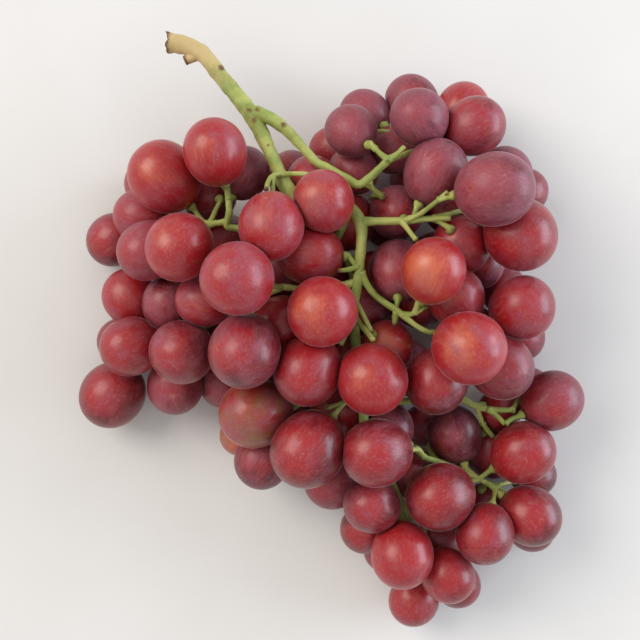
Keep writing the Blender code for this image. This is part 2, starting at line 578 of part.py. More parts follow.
def simplified(thing, share):
    """The object with this share of its triangles: its edges are closed up one by one, flattest first."""
    points, faces = welded(*triangles(thing))
    faces = without_scraps(faces)
    edges = np.unique(np.sort(faces[:, [0, 1, 1, 2, 2, 0]].reshape(-1, 2), axis=1), axis=0)
    normal = normals_at(points, faces)
    plane = np.column_stack([normal, -(normal * points[faces[:, 0]]).sum(1)])
    planes = np.zeros((len(points), 4, 4))
    around = [set() for _ in points]
    for number, face in enumerate(faces):
        for corner in face:
            planes[corner] += np.outer(plane[number], plane[number])
            around[corner].add(number)
    changes = np.zeros(len(points), int)
    queue = [(closing_cost(points, planes, a, b)[0], a, b, 0, 0) for a, b in edges]
    heapq.heapify(queue)
    count = len(faces)
    while queue and count > share * len(faces):
        cost, a, b, change_a, change_b = heapq.heappop(queue)
        if cost > MOST_COST:
            break
        if changes[a] != change_a or changes[b] != change_b:
            continue
        place = closing_cost(points, planes, a, b)[1]
        if not can_close(points, faces, around, a, b, place):
            continue
        points[b] = place
        planes[b] += planes[a]
        gone = around[a] & around[b]
        count -= len(gone)
        for face in around[a] - gone:
            faces[face][faces[face] == a] = b
        for face in gone:
            for corner in faces[face]:
                if corner != a:
                    around[corner].discard(face)
        around[b] |= around[a] - gone
        around[a] = set()
        changes[[a, b]] += 1
        for corner in sorted({corner for face in around[b] for corner in faces[face]} - {b}):
            cost = closing_cost(points, planes, b, corner)[0]
            heapq.heappush(queue, (cost, b, corner, changes[b], changes[corner]))
    kept = faces[sorted(set().union(*around))]
    used, index = np.unique(kept, return_inverse=True)
    mesh = bpy.data.meshes.new(thing.name)
    mesh.from_pydata(points[used] * MM, [], index.reshape(-1, 3))
    thing.data = mesh
    return thing


def skeleton(name, chains, paths, extra, shift, collection):
    """Every stem and pedicel as one solid, extra millimetres thicker all round."""
    pieces = []
    for stem, (points, thick, _) in chains.items():
        sides = MAIN_SIDES if stem == "rachis" else THIN_SIDES
        kept = sorted({*range(0, len(points), 2), len(points) - 1})
        pieces.append(tube(f"{name}_{stem}", points[kept] + shift, thick[kept] + extra, sides, collection))
    swelling = np.array([1, 1, 1, 1.15, RECEPTACLE_RADIUS / PEDICEL_RADIUS]) * PEDICEL_RADIUS
    for number, path in enumerate(paths):
        end = path[-1] - path[-2]
        end = end / np.linalg.norm(end)
        path = path.copy()
        path[-1] += end * extra
        own = swelling * (1 + UNEVEN * np.sin(number)) + extra
        kept = [0, 2, 3, 4] if np.linalg.norm(path[-1] - path[0]) < SHORT_PEDICEL else [0, 1, 2, 3, 4]
        pieces.append(tube(f"{name}_{number}", path[kept] + shift, own[kept], PEDICEL_SIDES, collection))
    return combined(name, pieces, "UNION", collection)


def berry(name, middle, radius, axis, collection):
    """A faceted berry, longer along its axis, whose mean radius is true."""
    bpy.ops.mesh.primitive_ico_sphere_add(subdivisions=2, radius=1)
    made = bpy.context.object
    made.name = name
    size = radius * FACET_GROWTH * MM
    turn = Vector(axis).to_track_quat("Z", "Y").to_matrix().to_4x4()
    stretch = Matrix.Diagonal((SLIM * size, SLIM * size, LONG * size, 1))
    made.data.transform(Matrix.Translation(Vector(middle * MM)) @ turn @ stretch)
    for user in list(made.users_collection):
        user.objects.unlink(made)
    collection.objects.link(made)
    return made


def surface_slab(collection):
    """What lies under the surface, so that the berries that touch it rest on small flat spots."""
    bpy.ops.mesh.primitive_cube_add(size=1)
    made = bpy.context.object
    made.data.transform(Matrix.Diagonal((0.4, 0.4, FLOOR_THICKNESS * MM, 1)))
    made.data.transform(Matrix.Translation((0, 0, -FLOOR_THICKNESS * MM / 2)))
    for user in list(made.users_collection):
        user.objects.unlink(made)
    collection.objects.link(made)
    return made


def build():
    for old in list(bpy.data.objects):
        bpy.data.objects.remove(old)
    bunch = bpy.data.collections.new("bunch_of_grapes")
    cutters = bpy.data.collections.new("cutters")
    bpy.context.scene.collection.children.link(bunch)
    bpy.context.scene.collection.children.link(cutters)
    centre, radius, group, axis, chains, paths = laid_out()
    stems = np.concatenate([np.column_stack([points, thick]) for points, thick, _ in chains.values()])
    half = radius[:, None] * reach_along(axis[:, None], np.eye(3)[None])
    low = np.minimum((centre - half).min(0), (stems[:, :3] - stems[:, 3:]).min(0))
    high = np.maximum((centre + half).max(0), (stems[:, :3] + stems[:, 3:]).max(0))
    shift = -(low + high) / 2 * (1, 1, 0)
    green = material("stem_green", STEM_GREEN, 0.5)
    rachis = simplified(skeleton("rachis", chains, paths, 0.0, shift, bunch), STEM_SHARE)
    rachis.data.materials.append(green)
    cutter = skeleton("stem_room", chains, paths, GROOVE, shift, cutters)
    slab = surface_slab(cutters)
    for number, lateral in enumerate(SEEN_BERRIES):
        members = np.flatnonzero(group == number)
        pieces = [
            berry(f"{lateral}_{k}", centre[k] + shift, radius[k], axis[k], bunch)
            for k in members
        ]
        whole = combined("whole_" + lateral, pieces, "UNION", bunch)
        room = [new_object(tool.name + "_" + lateral, tool.data.copy(), cutters) for tool in (cutter, slab)]
        cluster = simplified(combined("berries_" + lateral, [whole, *room], "DIFFERENCE", bunch), SKIN_SHARE)
        cluster.data.materials.append(material("skin_" + lateral, SKINS[lateral], 0.35))
        cluster.data.shade_smooth()
        cluster.data.set_sharp_from_angle(angle=0.6)
    rachis.data.shade_smooth()
    rachis.data.set_sharp_from_angle(angle=0.9)
    for tool in (cutter, slab):
        tool.hide_render = True
        tool.display_type = "WIRE"


build()
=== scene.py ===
"""Looks for the bunch of red table grapes: every berry and stem as a fine surface, their skins and the light.

The layout is worked out in millimetres as the part's source does it, so each berry and stem lies where the
part has it. Every surface is a function of two parameters on a grid.
"""

import bmesh
import bpy
import numpy as np
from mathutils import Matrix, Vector

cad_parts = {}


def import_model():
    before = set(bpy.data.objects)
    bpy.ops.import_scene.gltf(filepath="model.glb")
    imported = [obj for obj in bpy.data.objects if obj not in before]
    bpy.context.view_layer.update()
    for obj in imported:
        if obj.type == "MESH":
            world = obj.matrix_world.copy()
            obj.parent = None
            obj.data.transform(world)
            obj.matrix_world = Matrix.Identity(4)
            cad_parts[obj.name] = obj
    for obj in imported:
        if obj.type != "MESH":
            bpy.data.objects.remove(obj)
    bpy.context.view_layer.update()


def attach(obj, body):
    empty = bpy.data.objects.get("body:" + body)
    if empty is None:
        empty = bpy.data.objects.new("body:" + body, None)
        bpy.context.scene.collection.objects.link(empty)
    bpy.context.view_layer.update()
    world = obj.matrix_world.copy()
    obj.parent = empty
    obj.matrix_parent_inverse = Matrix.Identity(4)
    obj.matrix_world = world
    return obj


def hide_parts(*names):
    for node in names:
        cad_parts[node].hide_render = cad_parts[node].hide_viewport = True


MM = 0.001              # the layout is worked out in millimetres, and built in metres
EYE_HEIGHT = 380.0      # places are read on the surface, as an eye this high above its middle sees them
LONG = 1.07             # half a berry's length, as a share of its mean radius
SLIM = 0.97             # half a berry's width, as a share of its mean radius
PRESS = 0.93            # berries of one lateral press together to this share of their radii
CLEAR = 1.2             # room between the berries of different laterals
STEM_CLEAR = 0.5        # room between a berry's skin and a stem that it doesn't grow from
FILLED = 0.93           # how near a berry underneath is first set to its neighbours
PACKED = 0.86           # the same for one that closes a gap, before all are eased apart
FILL_GRID = (4.5, 4.0, 4.0)  # the places tried underneath: across, up and in height
HIDDEN_TOP = 31.0       # the berries underneath are all lower than this
SIGHT_STEP = 3.0        # between the sight lines that are tried
TWIG_COST = 3.0         # how much worse a pedicel is as a place to grow from than a stem
BARE = (2.0, 43.0)      # no pedicel grows from the stems left of and above this place
TURN_COST = 10.0        # how much worse a place at right angles to a berry's axis is than one behind it
HIDDEN_SIZE = 9.3       # mean radius of the berries that fill the room underneath
PLUG_SIZES = ((9.5, 8.8), (9.0, 8.0), (8.5, 7.0))  # mean radii tried on open sight lines, round by round
OPENING = (47.5, -26.5, 9.0)  # the surface shows through the bunch here: its middle and half its width
GAP = 0.35              # between solids that would touch
PEDICEL_RADIUS = 0.75
PEDICEL_LENGTH = 6.0    # from a stem to the berry that it carries, where there is a choice
RECEPTACLE_RADIUS = 1.5  # the swollen end that carries the berry
RECEPTACLE_LENGTH = 1.6
UNEVEN = 0.03           # how much the pedicels differ in thickness
STEM_STEP = 4.0         # between the points of a stem
SETTLE_ROUNDS = (120, 120, 400)
SINK = 0.4              # how far the berries that touch the surface are flattened by it

# every berry that shows, by lateral: across, up, radius as seen, height of its middle
SEEN_BERRIES = {
    "left_shoulder": [
        (-35, 56, 11, 44), (-52.5, 47.5, 12, 33), (-47, 24.5, 11.5, 44), (-59, 35, 9.5, 20),
        (-68.5, 27, 9.1, 11),
        (-56, 21, 10, 27), (-57, 45, 8.5, 12), (-26, 46, 8.8, 30), (-35, 41, 9.5, 22)],
    "left_side": [
        (-63.5, 8, 9.4, 15), (-52, 8, 9.5, 27), (-38, 6.5, 9.3, 32), (-61.5, -8, 10.2, 26),
        (-66, -8.5, 8.2, 9),
        (-46, -12, 11.2, 36), (-69, -24.3, 11, 12), (-48, -20.5, 9.7, 15), (-31, -20.5, 9.5, 13)],
    "crown": [
        (0, 41, 10.6, 52), (-17.3, 31.5, 11.4, 52), (-26.5, 14.6, 12.5, 54), (-3.5, 18, 10.5, 38),
        (-14, 48, 8.3, 20), (-3, 44, 8.6, 28)],
    "middle": [
        (1.3, 4.3, 12.3, 56), (-13, -1, 10, 36), (-24, -8.8, 12.3, 44), (-2.7, -15.5, 11.4, 38),
        (19, -19.7, 12.4, 50),
        (22.5, -9, 8.8, 34), (16, 6, 9, 24)],
    "wing": [
        (10.5, 63.5, 9, 34), (14.5, 68, 8.7, 16), (5, 57, 8.1, 14), (10, 50, 8.5, 24), (30, 73, 9.1, 14),
        (32, 65, 9.8, 33), (48.7, 70, 9.2, 16), (52, 63.5, 10.1, 33), (38, 49, 11, 42),
        (25.5, 35, 9.2, 26)],
    "right_shoulder": [
        (55, 45, 12.6, 50), (61.5, 48.5, 10, 28), (68, 42.5, 8.1, 12), (69, 27, 12.5, 38), (46, 27, 10, 34),
        (37.3, 17, 11.1, 52), (45, 9, 9.9, 34), (53, 20, 8.6, 21), (24, 17, 9.8, 28), (33, 5, 9, 24)],
    "right_side": [
        (49, -6.5, 12.6, 50), (67, 6, 11, 32), (68, 0.5, 8.6, 18), (66.5, -4, 8.4, 9),
        (60, -16.3, 11.1, 34),
        (37, -19.5, 10.8, 36), (59.5, 12, 8, 9)],
    "right_lower": [
        (69.5, -24, 8.4, 14), (75.3, -29.3, 10.3, 22), (69, -43, 10.6, 28), (72, -52.5, 7.7, 12),
        (43.5, -37.5, 9.5, 22), (58, -44, 9.5, 14)],
    "foot_right": [
        (42, -57, 11.7, 38), (69.5, -61, 10.2, 25), (70, -69, 8.1, 9), (54.5, -73, 9.8, 26),
        (56, -62, 9, 14), (30.5, -47, 8.7, 12)],
    "foot": [
        (28, -75.5, 10.8, 30), (44.5, -84.5, 9.1, 24), (30.3, -93.5, 8.7, 13), (46.5, -87.5, 8, 8.5),
        (14.5, -68.5, 8.6, 13), (22.5, -77, 7.6, 8.5), (19, -57.5, 9.3, 25), (41, -73, 9, 14)],
    "left_lower": [
        (-6.3, -44, 12.9, 43), (-18.5, -47.5, 9.6, 20), (-23, -29, 12, 34), (-26.5, -38, 7.1, 9),
        (6.7, -54, 9.9, 24),
        (18.7, -42, 11.8, 42), (27, -35, 8.2, 25)],
}

# every stem: across, up, height, radius, and 1 where it shows or 0 where the berries may push it aside
STEMS = {
    "rachis": [
        (-51, 92.7, 28, 2.8, 1), (-45.3, 91.7, 29, 2.4, 1), (-39.7, 89, 30.5, 2.2, 1),
        (-35, 83.7, 32, 2.1, 1),
        (-26.7, 73.3, 35, 2.2, 1), (-21, 65.7, 37, 2.4, 1), (-17.7, 58, 38, 2.1, 1),
        (-14, 50.3, 38.5, 2.1, 1),
        (-11.5, 45, 38, 2.5, 1), (-5, 40, 37, 2, 0), (2, 38, 37, 2, 0), (9.7, 37.3, 39.5, 2, 1),
        (13.3, 32.7, 41, 2.1, 1),
        (13.7, 26.7, 42, 1.8, 1), (13.3, 19.3, 42, 1.7, 1), (12.4, 11.7, 41.5, 1.7, 1),
        (11.3, 6, 39, 1.7, 1),
        (10.8, 1, 36, 1.7, 1), (11, -7, 32, 1.7, 0), (14, -16, 29, 1.6, 0), (19, -28, 27, 1.6, 0),
        (24, -42, 24, 1.5, 0),
        (28, -54, 22, 1.3, 0), (33, -66, 20, 1.2, 0), (36, -76, 18, 1, 0)],
    "old_stub": [(-39, 88.6, 30.5, 1.5, 1), (-42.3, 87.6, 30, 1.7, 1), (-45, 86.4, 29.6, 1.6, 1)],
    "wing": [
        (-23.6, 69.6, 36.5, 1.4, 1), (-20, 68.6, 38, 1.6, 1), (-16.5, 67, 38.8, 1.6, 1),
        (-12, 64, 39, 1.5, 1),
        (-4.7, 56.3, 40, 1.5, 1),
        (-1, 52.3, 40, 1.5, 1), (4, 47.5, 39.5, 1.5, 0), (10, 44.3, 41, 1.5, 1), (15, 46.3, 42, 1.4, 1),
        (20, 50.7, 43, 1.3, 1), (22.7, 53.3, 44, 1.3, 1)],
    "wing_left": [(22.7, 53.3, 44, 1.1, 1), (19.5, 56, 43.5, .8, 1), (16.7, 59.3, 42, .8, 1)],
    "wing_up": [(22.7, 53.3, 44, 1.1, 1), (25.5, 55.2, 44, .8, 1), (28, 57.7, 43, .8, 1)],
    "wing_right": [
        (22.7, 53.3, 44, 1.1, 1), (26, 53.6, 44.5, 1, 1), (30, 56, 36, 1, 0), (38, 60, 28, 1, 0),
        (48, 64, 23, .9, 0)],
    "crown_arc": [(-13, 48.5, 40, .9, 1), (-16.3, 47.7, 43, .8, 1), (-18, 43.3, 47, .8, 1)],
    "crown_right": [(-13, 48.5, 40, .9, 1), (-8.5, 48.8, 43, .8, 1), (-4, 48.5, 45, .8, 1)],
    "left_shoulder": [
        (10, 37, 38.5, 1.3, 1), (6.7, 29.3, 34, 1.2, 1), (2.7, 23.3, 29, 1.2, 1), (-5, 20, 25, 1.2, 0),
        (-16, 22, 27, 1.2, 0),
        (-26, 25, 32, 1.2, 0), (-30.7, 28, 35, 1.2, 1), (-30.3, 36.3, 37, 1.1, 1), (-31, 44.3, 36, 1, 1)],
    "left_shoulder_out": [
        (-30.6, 33, 36, 1, 1), (-37, 32, 33, .9, 1), (-46, 36, 26, .9, 0), (-53, 34, 22, .8, 0)],
    "left_side": [
        (12.3, 12.5, 41, 1.3, 1), (4, 10.5, 38, 1.2, 0), (-10, 9.7, 37, 1.1, 1),
        (-13.7, 11.7, 37, 1.1, 1), (-24, 13, 33, 1.1, 0),
        (-33, 15, 25, 1.1, 0), (-41, 10, 19, 1, 0), (-46, 4, 18, 1, 0), (-52, 0, 18, .9, 0),
        (-56, -12, 17, .8, 0)],
    "middle_left": [
        (11, 3, 37.2, 1.2, 1), (2, -6, 30, 1.1, 0), (-10, -10, 25, 1, 0), (-22, -16, 24, .9, 0)],
    "middle_down": [(11, 3, 37.4, 1.1, 1), (8.3, -5, 42, 1, 1), (6.7, -8.3, 43, 1, 1)],
    "middle_front": [(11, 2, 37, 1, 1), (15, -3.3, 44, .9, 1), (17.7, -6.7, 48, .9, 1)],
    "broken": [(11.5, 7, 39.6, .9, 1), (15, 0.5, 43, .8, 1), (17.3, -4.5, 44, .9, 1)],
    "broken_left": [(13, 18, 42.5, .9, 1), (9.5, 16.8, 44, .8, 1), (6, 16.5, 45, .7, 1)],
    "right_shoulder": [
        (14, 32.7, 41, 1.4, 1), (30.7, 33.3, 43, 1.2, 1), (38, 33.8, 43.5, 1, 1), (43.5, 34, 43.5, 1, 1)],
    "right_shoulder_out": [
        (38, 33.8, 43, 1, 1), (47, 37, 36, .9, 0), (56, 37, 28, .9, 0), (61, 35, 22, .8, 0)],
    "shoulder_up": [
        (29.5, 33.4, 43, 1, 1), (33.5, 35.5, 45, .8, 1), (37.3, 38.3, 47, .8, 1),
        (42.7, 42.7, 49, .8, 1)],
    "shoulder_down": [(27.3, 33, 43, .9, 1), (30, 29.3, 46, .8, 1), (32, 26.7, 49, .8, 1)],
    "wing_dark": [(16.5, 46.3, 42, .8, 1), (17.5, 44, 40, .7, 1), (20.7, 41.3, 36, .8, 1)],
    "right_side": [
        (13.6, 16, 42, 1.2, 1), (17.3, 9.3, 41.5, 1.1, 1), (21.7, 5.7, 41, 1.1, 1),
        (26, 3, 41, 1.2, 1), (30.7, -1, 41, .9, 1),
        (36, -4, 40, .9, 1), (44, 0, 33, .9, 0), (54, 1, 26, .9, 0), (60, -3, 22, .8, 0)],
    "side_up": [(27, 1.8, 41, .9, 1), (31, 2, 41, .8, 1), (35, 4.5, 40, .8, 1)],
    "side_down": [(25.3, 3, 41, .9, 1), (24.7, -1.7, 39, .8, 1)],
    "right_lower": [
        (20, -27, 31.5, 1.2, 0), (32, -29, 27, 1.1, 0), (40, -28.5, 24, 1.1, 0),
        (46.3, -26.2, 24, 1.1, 1), (51.7, -28.7, 25, 1.1, 1),
        (56.3, -29.7, 26, 1, 1), (64, -30, 27, .8, 1)],
    "lower_down": [(56, -29.6, 26, .9, 1), (58.5, -31.5, 27, .8, 1), (61.7, -34.7, 28, .8, 1)],
    "lower_deep": [(52.5, -29, 25, .9, 1), (53.7, -33.3, 23, .8, 1), (57.7, -39, 20, .8, 1)],
    "foot_right": [
        (24, -42, 28, 1.1, 0), (32.3, -43, 29, 1.1, 1), (35, -46, 27, 1, 1), (40.5, -53, 24, 1, 0),
        (48, -57, 24, 1, 0),
        (55, -54.5, 25, .9, 1), (58.5, -56, 20, .8, 0)],
    "left_lower": [
        (17.5, -17, 33.5, 1.2, 0), (10, -25, 32, 1.1, 0), (1, -30, 29, 1.1, 0), (-9, -32, 24, 1, 0),
        (-17, -36, 20, .9, 0)],
    "lower_up": [(1, -30, 29, .9, 0), (2, -29.5, 34, .8, 1), (2.2, -28.5, 38, .8, 1)],
}

# the fine surfaces
BERRY_ROWS = 36         # rings from pole to pole
BERRY_COLUMNS = 52
EGG = 0.035             # how much fuller a berry is towards its tip
CONTACT_GAP = 0.03      # between two pressed skins
SOFTNESS = 0.22         # how softly the rim of a pressed flat is rounded
PEDICEL_DIMPLE = (0.55, 0.17)  # depth, and half width as an angle
TIP_DIMPLE = (0.15, 0.10)
STEM_GRAIN = 0.8        # between the rings of a stem
PEDICEL_GRAIN = 0.5     # the same for a pedicel
STEM_SIDES = 20
PEDICEL_SIDES = 12
COLLAR = 0.45           # how much thicker a stem is where it leaves another
COLLAR_LENGTH = 1.6
PEDICEL_COLLAR = 0.5
PEDICEL_COLLAR_LENGTH = 0.8
WOOD_LENGTH = 34.0      # of the tan end of the peduncle
# how much stouter than in the part a bare stem is, and how far along it
STOUT = {"rachis": (0.27, 52.0), "wing": (0.40, 17.0)}
# a painted glow of light through the skin: the side of each berry where it sits, how far it reaches and how
# strong it is
PAINTED_GLOW_SIDE = np.array([-0.30, 0.08, 0.95])
PAINTED_GLOW_SPREAD = 0.45      # square of the painted glow patch's reach, as a share of the radius
PAINTED_GLOW_SHARE = 0.42       # how much redder and brighter the side with the painted glow is
PAINTED_GLOW_LEVEL = 0.22       # the painted glow patch's mean, which leaves the berry's own tone as it is
TEAR = 1.6              # how far the torn end's teeth reach along the stem
HOLLOW = 1.0            # depth of the torn end's middle
MARK_HEIGHT = 36.0
MARK_STRENGTH = 0.9
MARKS = (               # brown marks on the stems: across, up, size
    (-33, 84.5, 1.3), (-23.3, 69.3, 1.0), (-20.6, 69.4, 0.9), (-21.7, 66, 1.1), (-12, 64.2, 1.1),
    (-17, 57.5, 0.6), (40.5, 40.2, 0.7))
DRY_TIPS = ("old_stub", "broken", "broken_left", "crown_arc", "lower_up", "side_down")
MERGE = 2e-7            # metres; points nearer than this are one
SENSOR = 36.0
LENS = 64.125           # 640 picture widths across 213 mm of the surface, from the eye's height

# tone, bloom and unripeness of the berries that show, a digit each, in the order of the table of berries
BERRY_LOOKS = {
    "left_shoulder": "630 620 630 450 330 450 440 250 240",
    "left_side": "530 250 540 430 340 340 330 350 350",
    "crown": "740 640 540 530 340 440",
    "middle": "720 430 340 430 620 720 240",
    "wing": "270 270 540 360 260 270 530 440 260 250",
    "right_shoulder": "260 160 350 430 430 820 640 250 260 240",
    "right_side": "730 440 340 330 340 330",
    "right_lower": "340 340 420 230 140 240",
    "foot_right": "320 320 330 320 240",
    "foot": "520 420 420 330 330 330 340 340",
    "left_lower": "320 240 545 925 350 330 250",
}


def seen(across, up, height):
    """A reading on the surface, drawn in towards the middle by its own height."""
    near = 1 - np.asarray(height, float) / EYE_HEIGHT
    return np.stack([np.asarray(across) * near, np.asarray(up) * near, np.asarray(height, float)], -1)


def smooth_path(points, values, step):
    """Points every step or so on a smooth curve through the given ones, with their values carried along."""
    table = np.column_stack([points, values])
    knots = np.r_[0, np.cumsum(np.linalg.norm(np.diff(points, axis=0), axis=1))]
    at = np.linspace(0, knots[-1], max(2, int(np.ceil(knots[-1] / step)) + 1))
    span = np.clip(np.searchsorted(knots, at, side="right") - 1, 0, len(knots) - 2)
    width = np.diff(knots)[span][:, None]
    t = ((at - knots[span]) / width[:, 0])[:, None]
    slope = np.gradient(table, knots, axis=0)
    return ((2 * t**3 - 3 * t**2 + 1) * table[span] + (t**3 - 2 * t**2 + t) * width * slope[span]
            + (3 * t**2 - 2 * t**3) * table[span + 1] + (t**3 - t**2) * width * slope[span + 1])


def stem_chains():
    """Every stem as points, radii and whether each point may be pushed aside."""
    chains = {}
    for name, rows in STEMS.items():
        rows = np.array(rows, float)
        table = smooth_path(seen(rows[:, 0], rows[:, 1], rows[:, 2]), rows[:, 3:], STEM_STEP)
        thick = table[:, 3] * (1 - table[:, 2] / EYE_HEIGHT)
        chains[name] = [table[:, :3], thick, table[:, 4] < 0.99]
    return chains


def points_of(chains):
    return np.concatenate([points for points, _, _ in chains.values()])


def seen_berries():
    rows = np.array([(k, *row) for k, rows in enumerate(SEEN_BERRIES.values()) for row in rows], float)
    centre = seen(rows[:, 1], rows[:, 2], rows[:, 4])
    return centre, rows[:, 3] * (1 - rows[:, 4] / EYE_HEIGHT), rows[:, 0].astype(int)


def enclosed(place, others, width=27.0):
    """Whether berries stand all round a place, with no wide opening between them."""
    around = others[:, :2] - place[:2]
    around = around[np.hypot(*around.T) < width]
    turns = np.sort(np.arctan2(around[:, 1], around[:, 0]))
    return len(turns) > 3 and np.diff(np.r_[turns, turns[0] + 2 * np.pi]).max() < 1.75


def has_room(place, size, closeness, centre, radius, seen_count, stem_points):
    """Whether a berry fits at a place: clear of stems, not too close to its neighbours, and enclosed."""
    apart = np.linalg.norm(centre - place, axis=1)
    from_stem = np.linalg.norm(stem_points - place, axis=1)
    return ((apart >= closeness * (radius + size)).all() and from_stem.min() >= size
            and enclosed(place, centre[:seen_count]))


def with_one_more(centre, radius, group, place, size):
    """The berries and one more, which joins the lateral of the berry nearest to it."""
    nearest = int(np.argmin(np.linalg.norm(centre - place, axis=1)))
    return np.vstack([centre, place]), np.r_[radius, size], np.r_[group, group[nearest]]


def in_opening(across, up, margin=0.0):
    return np.hypot(across - OPENING[0], up - OPENING[1]) < OPENING[2] + margin


def fill_under(centre, radius, group, stem_points, seen_count, size):
    """Berries under and among the seen ones, where there is room, from the surface up on a fine grid."""
    width, length, rise = FILL_GRID
    for height in np.arange(size, HIDDEN_TOP, rise):
        for row in range(-20, 21):
            for column in range(-18, 19):
                place = np.array([width * (column + (row % 2) / 2), length * row, height])
                if in_opening(place[0], place[1], size):
                    continue
                if has_room(place, size, FILLED, centre, radius, seen_count, stem_points):
                    centre, radius, group = with_one_more(centre, radius, group, place, size)
    return centre, radius, group


def first_fit(line, sizes, centre, radius, seen_count, stem_points):
    """The first place along a sight line, from the top down, where a berry of one of the sizes has room."""
    for size in sizes:
        for height in np.arange(HIDDEN_TOP - 1, size - 0.1, -2.0):
            place = line * (EYE_HEIGHT - height) / -line[2] + (0, 0, EYE_HEIGHT)
            if has_room(place, size, PACKED, centre, radius, seen_count, stem_points):
                return place, size
    return None


def plug_gaps(centre, radius, group, stem_points, seen_count, sizes):
    """Berries that nothing shows whole: wherever the surface could be seen through the bunch, one is set on
    that sight line, as high under the stems as it fits."""
    eye = np.array([0, 0, EYE_HEIGHT])
    for up in np.arange(-100, 86, SIGHT_STEP):
        for across in np.arange(-78, 82, SIGHT_STEP):
            line = np.array([across, up, 0]) - eye
            line = line / np.linalg.norm(line)
            from_eye = centre - eye
            beside = np.linalg.norm(from_eye - (from_eye @ line)[:, None] * line, axis=1)
            if (beside < radius * 1.02).any() or in_opening(across, up):
                continue
            found = first_fit(line, sizes, centre, radius, seen_count, stem_points)
            if found:
                centre, radius, group = with_one_more(centre, radius, group, *found)
    return centre, radius, group


def unfit(centre, radius, axis, places):
    """How badly each place suits each berry as its pedicel's root, by distance and turn from its axis."""
    toward = centre[:, None] - places[None]
    reach = np.linalg.norm(toward, axis=2)
    cost = np.abs(reach - (radius * LONG + PEDICEL_LENGTH)[:, None])
    if axis is not None:
        cost += TURN_COST * (1 - (toward * axis[:, None]).sum(2) / reach)
    return cost


def grow(centre, radius, chains, axis=None):
    """Each berry's axis, and its pedicel's root on a stem that is already there, the best placed first."""
    stem = points_of(chains)
    stem = stem[(stem[:, 0] > BARE[0]) | (stem[:, 1] < BARE[1])]
    cost = unfit(centre, radius, axis, stem)
    best, root = cost.min(1), stem[cost.argmin(1)]
    waiting = np.ones(len(centre), bool)
    roots = np.zeros_like(centre)
    axes = np.zeros_like(centre) if axis is None else axis
    while waiting.any():
        k = int(np.argmin(np.where(waiting, best, np.inf)))
        waiting[k] = False
        roots[k] = root[k]
        if axis is None:
            axes[k] = (centre[k] - root[k]) / np.linalg.norm(centre[k] - root[k])
        tip = centre[k] - axes[k] * radius[k] * (LONG + 0.25)
        for share in (0.35, 0.6):
            twig = roots[k] * (1 - share) + tip * share
            cost = unfit(centre, radius, axis, twig[None])[:, 0] + TWIG_COST
            nearer = cost < best
            best = np.where(nearer, cost, best)
            root = np.where(nearer[:, None], twig, root)
    return axes, roots


def pressed_pairs(centre, radius, group):
    """Pairs of berries that hold the berries of each lateral together, as a shortest tree."""
    pairs = []
    for number in np.unique(group):
        members = list(np.flatnonzero(group == number))
        inside, outside = [members.pop(0)], members
        while outside:
            gaps = np.linalg.norm(centre[inside][:, None] - centre[outside][None], axis=2)
            gaps = gaps / (radius[inside][:, None] + radius[outside][None])
            i, j = np.unravel_index(np.argmin(gaps), gaps.shape)
            pairs.append((inside[i], outside[j]))
            inside.append(outside.pop(j))
    return np.array(pairs)


def reach_along(axis, direction):
    """From a berry's middle to its skin along a direction, as a share of its mean radius."""
    turned = (axis * direction).sum(-1)**2
    return 1 / np.sqrt(turned / LONG**2 + (1 - turned) / SLIM**2)


def settle(centre, home, radius, group, axis, chains, rounds):
    """The berries eased apart, onto the surface and clear of the stems. Those that show keep to their sight
    lines."""
    count, seen_count = len(centre), len(home)
    pairs = pressed_pairs(centre, radius, group)
    low = radius * np.sqrt(LONG**2 * axis[:, 2]**2 + SLIM**2 * (1 - axis[:, 2]**2))
    sight = home - (0, 0, EYE_HEIGHT)
    sight /= np.linalg.norm(sight, axis=1)[:, None]
    same = group[:, None] == group[None]
    for turn in range(rounds):
        strict = turn > rounds - 120
        between = centre[:, None] - centre[None]
        apart = np.linalg.norm(between, axis=2) + np.eye(count)
        unit = between / apart[..., None]
        skin = radius[:, None] * reach_along(axis[:, None], unit)
        need = np.where(same, (skin + skin.T) * PRESS, skin + skin.T + CLEAR)
        lack = np.clip(need - apart, 0, None) * (1 - np.eye(count))
        move = 0.3 * (lack[..., None] * unit).sum(1)
        if turn > 30:
            i, j = pairs.T
            pull = np.clip(apart[i, j] - need[i, j], 0, None)[:, None] * unit[i, j]
            pull *= 0.5 if strict else 0.3
            np.add.at(move, i, -pull)
            np.add.at(move, j, pull)
        stem = points_of(chains)
        thick = np.concatenate([chain[1] for chain in chains.values()])
        to_stem = centre[:, None] - stem[None]
        far = np.linalg.norm(to_stem, axis=2)
        skin = radius[:, None] * reach_along(axis[:, None], to_stem / far[..., None])
        into = np.clip(skin + thick + STEM_CLEAR - far, 0, None)
        push = into[..., None] * to_stem / far[..., None]
        move += 0.5 * push[np.arange(count), into.argmax(1)]
        first = 0
        for chain in chains.values():
            points, _, loose = chain
            last = first + len(points)
            aside = -0.5 * push[into[:, first:last].argmax(0), np.arange(first, last)]
            aside[1:-1] += 0.35 * ((points[:-2] + points[2:]) / 2 - points[1:-1])
            aside[0] = 0
            chain[0] = points + np.where(loose[:, None], aside, 0)
            first = last
        main = chains["rachis"][0]
        for chain in chains.values():
            if chain[2][0]:
                chain[0][0] = main[np.linalg.norm(main - chain[0][0], axis=1).argmin()]
        off = centre[:seen_count] - home
        along = (off * sight).sum(1)[:, None] * sight
        move[:seen_count] -= (0.01 if strict else 0.25) * (off - along) + (0 if strict else 0.03) * along
        centre = centre + move
        centre[:, 2] = np.maximum(centre[:, 2], low)
    return centre


